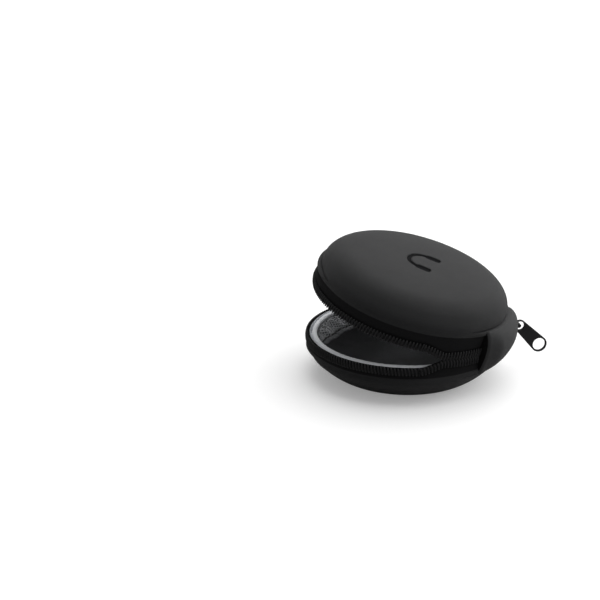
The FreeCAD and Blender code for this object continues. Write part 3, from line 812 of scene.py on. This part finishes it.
def flat_bar(outline, holes, thick, soft):
    """Mesh of a flat bar with holes, its edges rounded outwards by soft; all in mm."""
    curve = bpy.data.curves.new("flat_bar", "CURVE")
    curve.dimensions = "2D"
    curve.fill_mode = "BOTH"
    curve.extrude = (thick / 2 - soft) * MM
    curve.bevel_depth = soft * MM
    curve.bevel_resolution = 4
    for points in [outline] + holes:
        spline = curve.splines.new("POLY")
        spline.points.add(len(points) - 1)
        for point, (x, y) in zip(spline.points, points):
            point.co = (x * MM, y * MM, 0, 1)
        spline.use_cyclic_u = True
    flat = new_object("flat_bar", curve)
    graph = bpy.context.evaluated_depsgraph_get()
    mesh = bpy.data.meshes.new_from_object(flat.evaluated_get(graph))
    bpy.data.objects.remove(flat)
    with edited(mesh) as bm:
        bmesh.ops.remove_doubles(bm, verts=bm.verts, dist=1e-6)
        bmesh.ops.recalc_face_normals(bm, faces=bm.faces)
    return mesh


def pull_tab():
    """Die-cast pull: small eye, straight tapered sides, large round end hole, rounded edges."""
    thick, soft = 1.2, 0.32
    eye_out, eye_hole = 2.5, 1.8
    end_out, end_hole = 3.4, 2.65
    eye_x = 1.15                # the bar lies at the side of the eye away from the end hole
    end_x = eye_x + 12.4
    side = pi / 2 + atan2(end_out - eye_out, sqrt((end_x - eye_x) ** 2 - (end_out - eye_out) ** 2))
    outline = arc_points(eye_x, eye_out - soft, side, 2 * pi - side, 40)
    outline += arc_points(end_x, end_out - soft, -side, side, 60)
    holes = [arc_points(eye_x, eye_hole + soft, count=56),
             arc_points(end_x, end_hole + soft, count=72)]
    mesh = flat_bar(outline, holes, thick, soft)
    down = Vector(np.array(MOUNTS["pull_hole"]["pos_m"]) - BAR).normalized()
    axis = Vector(BAR_AXIS).normalized()
    turn = Matrix((down, axis.cross(down), axis)).transposed().to_4x4()
    mesh.transform(Matrix.Translation(Vector(BAR)) @ turn)
    smooth_shaded(mesh, 35.0)
    return new_object("pull", mesh)


def metalwork():
    body = softened_copy("slider_body", "slider_casting", 0.22 * MM)
    finish_piece(body, "slider", MATERIALS["metal"], ["slider_body"])
    crown = softened_copy("slider_crown", "slider_bridge", 0.25 * MM)
    finish_piece(crown, "slider", MATERIALS["metal"], ["slider_crown"])
    finish_piece(pull_tab(), "pull", MATERIALS["metal"], ["pull_tab"])


# ---- net pocket
POCKET_AZ = (84.0, 198.0)   # its two ends, in degrees from +X
POCKET_R = 34.9
NET_EDGE = 34.45            # radius where the net is sewn to the wall
POCKET_SAG = 4.5            # how far the free edge bows out from its chord
ELASTIC_W = 2.4
EDGE_OUT = 0.6              # the net starts this far outside the free edge
NET_SLACK = 0.12            # how much too large the net is cut
CLOTH_STEPS = 45
CELL = 0.95
STRAND = 0.34
NET_T = 0.22


class PocketPlan:
    """Flat plan of the pocket: p runs along its chord and q out to the wall, in mm."""

    def __init__(self):
        a0, a1 = (radians(a) for a in POCKET_AZ)
        ends = [np.array([POCKET_R * cos(a), POCKET_R * sin(a)]) for a in (a0, a1)]
        mid = (ends[0] + ends[1]) / 2
        self.half = float(np.linalg.norm(ends[1] - ends[0])) / 2
        self.along = (ends[1] - ends[0]) / (2 * self.half)
        self.out = mid / np.linalg.norm(mid)
        self.mid_q = float(mid @ self.out)
        self.edge_r = (self.half ** 2 + POCKET_SAG ** 2) / (2 * POCKET_SAG)
        self.edge_q = self.mid_q - (self.edge_r - POCKET_SAG)

    def edge(self, p, wide=0.0):
        """q of the free edge, or of a line that far outside it."""
        return self.edge_q + np.sqrt(np.maximum((self.edge_r + wide) ** 2 - p * p, 0))

    def wall(self, p):
        return np.sqrt(np.maximum(NET_EDGE ** 2 - p * p, 0))

    def world(self, p, q, z):
        """Metres from plan coordinates and height in mm."""
        xy = np.asarray(p)[..., None] * self.along + np.asarray(q)[..., None] * self.out
        return np.concatenate([xy, np.asarray(z)[..., None]], -1) * MM


def dish(p, q):
    """Height of the net over the floor: it dips towards the middle of the base."""
    return 14.2 + 1.6 * (p * p + q * q) / NET_EDGE ** 2


def ruffle(p):
    """Height of the gathers along the pocket's edge."""
    return np.sin(p * 2.1) * 0.12 + np.sin(p * 0.52 + 1.1) * 0.25


def net_wrinkles(p, q):
    """Rough gathers that start at the elastic, before the cloth is let go."""
    fan = np.sin(p * 1.25 + 0.18 * q + 0.8 * np.sin(p * 0.31)) * 0.6
    return fan + np.sin(p * 0.52 + 1.1 - 0.3 * q) * 0.4


def settled_cloth(points, pinned, slack, steps):
    """Cloth simulation: a sheet held at some points, cut a little too large, finds its folds."""
    scale = 0.02                # metres in the simulation for each mm of the sheet
    verts, faces, _ = grid_parts(points * scale)
    mesh = bpy.data.meshes.new("settling")
    mesh.from_pydata(verts, [], faces)
    obj = new_object("settling", mesh)
    group = obj.vertex_groups.new(name="held")
    group.add(np.flatnonzero(pinned.ravel()).tolist(), 1.0, "REPLACE")
    modifier = obj.modifiers.new("cloth", "CLOTH")
    settings = modifier.settings
    settings.quality = 8
    settings.mass = 0.15
    settings.tension_stiffness = 20.0
    settings.compression_stiffness = 20.0
    settings.shear_stiffness = 6.0
    settings.bending_stiffness = 0.02
    settings.vertex_group_mass = "held"
    settings.shrink_min = -slack
    settings.effector_weights.gravity = 0.15
    modifier.collision_settings.use_collision = False
    modifier.collision_settings.use_self_collision = False
    modifier.point_cache.frame_start = 1
    modifier.point_cache.frame_end = steps
    scene = bpy.context.scene
    for step in range(1, steps + 1):
        scene.frame_set(step)
    graph = bpy.context.evaluated_depsgraph_get()
    settled = obj.evaluated_get(graph).to_mesh()
    found = np.empty(len(settled.vertices) * 3)
    settled.vertices.foreach_get("co", found)
    bpy.data.objects.remove(obj)
    scene.frame_set(1)
    return found.reshape(points.shape) / scale


class NetFolds:
    """Where each point of the flat net lies once it is sewn in and gathered."""

    def __init__(self, plan):
        self.plan = plan
        self.reach = plan.half - 0.4
        s, t = np.meshgrid(np.linspace(0, 1, 91), np.linspace(0, 1, 31), indexing="ij")
        p = (2 * s - 1) * self.reach
        low, high = self.borders(p)
        q = low + (high - low) * t
        seed = net_wrinkles(p, q) * smooth((1 - t) * 3) * smooth(t * 4 + 0.3)
        z = dish(p, q) + seed + ruffle(p) * (1 - t)
        settled = np.stack([p, q, z], -1)
        held = (t == 0) | (t == 1) | (s == 0) | (s == 1)
        settled = settled_cloth(settled, held, NET_SLACK, CLOTH_STEPS)
        self.shift = settled - np.stack([p, q, dish(p, q)], -1)

    def borders(self, p):
        """q of the net's edge at the elastic and of its edge at the wall."""
        low = self.plan.edge(p, EDGE_OUT)
        return low, np.maximum(self.plan.wall(p), low + 0.3)

    def __call__(self, p, q):
        low, high = self.borders(p)
        last_i, last_j = self.shift.shape[0] - 1, self.shift.shape[1] - 1
        x = np.clip((p / self.reach + 1) / 2, 0, 1) * last_i
        y = np.clip((q - low) / (high - low), 0, 1) * last_j
        i = np.minimum(x.astype(int), last_i - 1)
        j = np.minimum(y.astype(int), last_j - 1)
        fx, fy = (x - i)[:, None], (y - j)[:, None]
        shift = self.shift
        shift = (shift[i, j] * (1 - fx) * (1 - fy) + shift[i + 1, j] * fx * (1 - fy)
                 + shift[i, j + 1] * (1 - fx) * fy + shift[i + 1, j + 1] * fx * fy)
        return p + shift[:, 0], q + shift[:, 1], dish(p, q) + shift[:, 2]


def net_cells(plan):
    """Flat net: the corners of its strands, and a four-sided face for each side of each cell."""
    side = CELL / sqrt(3)
    hole = side * (1 - STRAND / CELL)
    verts, faces, found = [], [], {}

    def corner(p, q):
        key = (round(p, 3), round(q, 3))
        if key not in found:
            found[key] = len(verts)
            verts.append((p, q))
        return found[key]

    rows = int(40 / (1.5 * side))
    columns = int(36 / CELL)
    for i in range(-rows, rows):
        for j in range(-columns, columns):
            p0 = CELL * (j + 0.5 * (i % 2))
            q0 = plan.mid_q + 8 + 1.5 * side * i
            if abs(p0) > plan.half or not plan.edge(p0, EDGE_OUT - 0.4) < q0 < plan.wall(p0) - 0.1:
                continue
            outer, inner = [], []
            for a in np.radians(np.arange(30.0, 390.0, 60.0)):
                outer.append(corner(p0 + side * cos(a), q0 + side * sin(a)))
                inner.append(corner(p0 + hole * cos(a), q0 + hole * sin(a)))
            for k in range(6):
                m = (k + 1) % 6
                faces.append([outer[k], outer[m], inner[m], inner[k]])
    return np.array(verts), faces


def net(plan):
    """Hexagonal net of flat knitted strands, cut to the pocket and gathered at its elastic."""
    plane, faces = net_cells(plan)
    p, q, z = NetFolds(plan)(plane[:, 0], plane[:, 1])
    mesh = bpy.data.meshes.new("pocket_net")
    mesh.from_pydata(plan.world(p, q, z).tolist(), [], faces)
    with edited(mesh) as bm:
        bmesh.ops.remove_doubles(bm, verts=bm.verts, dist=2e-6)
        bmesh.ops.recalc_face_normals(bm, faces=bm.faces)
        lower = bmesh.ops.extrude_face_region(bm, geom=bm.faces[:])["geom"]
        lower_verts = [part for part in lower if isinstance(part, bmesh.types.BMVert)]
        bmesh.ops.translate(bm, vec=(0, 0, -NET_T * MM), verts=lower_verts)
        bmesh.ops.recalc_face_normals(bm, faces=bm.faces)
    mesh.polygons.foreach_set("use_smooth", [True] * len(mesh.polygons))
    return new_object("pocket_net", mesh)


def pocket_edge(plan, p):
    """The pocket's free edge: a knitted elastic drawn up into ruffles, and a dark piping cord over its seam, which
    is partly the seam and partly painted shade of the groove between net and elastic.
    """
    flat = rounded([(0.0, 0.0), (0.05, 0.3), (0.5, 0.5), (1.3, 0.6), (2.0, 0.5), (2.45, 0.3), (2.5, 0.0),
                    (2.0, -0.25), (1.3, -0.3), (0.5, -0.25)], 2) - (ELASTIC_W, 0)
    a = np.linspace(0, 2 * pi, 12, endpoint=False)
    # dark cord between the net and the elastic: partly the seam's piping, partly painted shade of the groove there
    cord = np.stack([EDGE_OUT - 0.25 + 0.42 * np.cos(a), 0.35 + 0.42 * np.sin(a)], 1)
    thin = smooth((plan.half - np.abs(p)) / 4.0)[:, None] * 0.6 + 0.4
    for name, section, look, replaced in (("pocket_elastic_edge", flat, "elastic", ["pocket_elastic"]),
                                          ("pocket_edge_piping_shade", cord, "thread", [])):
        q = plan.edge(p)[:, None] + section[None, :, 0]
        q = np.minimum(q, plan.wall(p)[:, None] + 0.35)
        z = dish(p[:, None], q) + section[None, :, 1] * thin + ruffle(p)[:, None] * thin
        points = plan.world(np.broadcast_to(p[:, None], q.shape), q, z)
        uv = grid_uv(p, np.linspace(0, 6.0, len(section) + 1))
        band = joined(name, [grid_parts(points, wrap_v=True, uv=uv, caps=True)], 70.0)
        finish_piece(band, "base", MATERIALS[look], replaced)


def wall_binding():
    """Flat binding that holds the net's outer edge to the wall."""
    turns = np.linspace(POCKET_AZ[0] - 2.5, POCKET_AZ[1] + 2.5, 120) - HINGE_AZ
    line = rounded([(35.1, 0.95), (34.6, 1.1), (34.45, 1.6), (34.5, 2.2), (35.1, 2.45)], 3)
    r, h = swept(line, turns)
    uv = grid_uv(np.radians(turns) * 34, np.append(np.linspace(0, 2.2, len(line)), 3.9))
    points = placed(r, turns[:, None], h, "base")
    return joined("pocket_wall_binding", [grid_parts(points, wrap_v=True, uv=uv, caps=True)], 60.0)


def pocket():
    plan = PocketPlan()
    p = np.linspace(-plan.half + 0.6, plan.half - 0.6, 161)
    pocket_edge(plan, p)
    cloth = net(plan)
    finish_piece(cloth, "base", MATERIALS["net"], ["mesh_pocket"])
    finish_piece(wall_binding(), "base", MATERIALS["lining"], ["pocket_binding"])


# ---- the case
def build_case():
    for half in ("base", "lid"):
        skin = finish_piece(shell(half), half, MATERIALS["skin"], [half + "_skin"])
        if half == "lid":
            darken_sign(skin)
        finish_piece(lining(half), half, MATERIALS["lining"], [half + "_lining"])
        finish_piece(binding(half), half, MATERIALS["binding"], [half + "_binding"])
        core = frame["nodes"][half + "_core"]
        for slot in core.material_slots:
            slot.material = MATERIALS["foam"]
    zip_rows()
    hinge()
    metalwork()
    pocket()


# ---- studio
def pale_floor():
    """Floor that looks nearly white to the camera but throws less light up at the case."""
    bpy.ops.mesh.primitive_plane_add(size=16.0, location=(0, 0, 0))
    floor = bpy.context.object
    floor.name = "floor"
    mat, tree, shader = new_material("pale_floor", 0.9, 0.1)
    colour_between(tree, shader, noise(tree, 30.0), (0.39, 0.39, 0.39), (0.41, 0.41, 0.41))
    seen = tree.nodes.new("ShaderNodeBsdfPrincipled")
    seen.inputs["Base Color"].default_value = (0.80, 0.80, 0.80, 1)
    seen.inputs["Roughness"].default_value = 0.9
    seen.inputs["Specular IOR Level"].default_value = 0.1
    seen.inputs["Emission Color"].default_value = (1, 1, 1, 1)
    seen.inputs["Emission Strength"].default_value = 0.27
    path = tree.nodes.new("ShaderNodeLightPath")
    mix = tree.nodes.new("ShaderNodeMixShader")
    tree.links.new(path.outputs["Is Camera Ray"], mix.inputs[0])
    tree.links.new(shader.outputs[0], mix.inputs[1])
    tree.links.new(seen.outputs[0], mix.inputs[2])
    tree.links.new(mix.outputs[0], tree.nodes["Material Output"].inputs["Surface"])
    floor.data.materials.append(mat)


def soft_sky():
    """Large soft light: strongest overhead, behind and to the right, weakest in front."""
    world = bpy.data.worlds.new("studio")
    world.use_nodes = True
    tree = world.node_tree
    sky = tree.nodes["Background"]
    sky.inputs["Color"].default_value = (1.0, 1.0, 1.0, 1)
    place = tree.nodes.new("ShaderNodeTexCoord")
    split = tree.nodes.new("ShaderNodeSeparateXYZ")
    tree.links.new(place.outputs["Generated"], split.inputs[0])
    level = 0.45
    for axis, amount in zip(split.outputs, (0.26, 0.26, 0.12)):
        level = calc(tree, "MULTIPLY_ADD", axis, amount, level)
    tree.links.new(calc(tree, "MAXIMUM", level, 0.05), sky.inputs["Strength"])
    bpy.context.scene.world = world


def soft_key():
    sun = bpy.data.lights.new("soft_key", "SUN")
    sun.energy = 2.6
    sun.angle = radians(100)
    key = new_object("soft_key", sun)
    toward = Vector((0.6, 0.45, 1.0))
    key.rotation_euler = toward.to_track_quat("Z", "Y").to_euler()


def main_camera():
    eye = Vector((-0.0422, -0.4806, 0.2052))
    target = Vector((-0.0422, 0.0832, 0.0))
    lens = bpy.data.cameras.new("camera")
    lens.lens = 76.1
    lens.sensor_width = 36.0
    lens.clip_start = 0.02
    lens.clip_end = 60.0
    camera = new_object("camera", lens)
    camera.location = eye
    camera.rotation_euler = (target - eye).to_track_quat("-Z", "Y").to_euler()
    bpy.context.scene.camera = camera


def studio():
    bpy.context.scene.view_settings.view_transform = "Standard"
    pale_floor()
    soft_sky()
    soft_key()
    main_camera()


build_case()
studio()
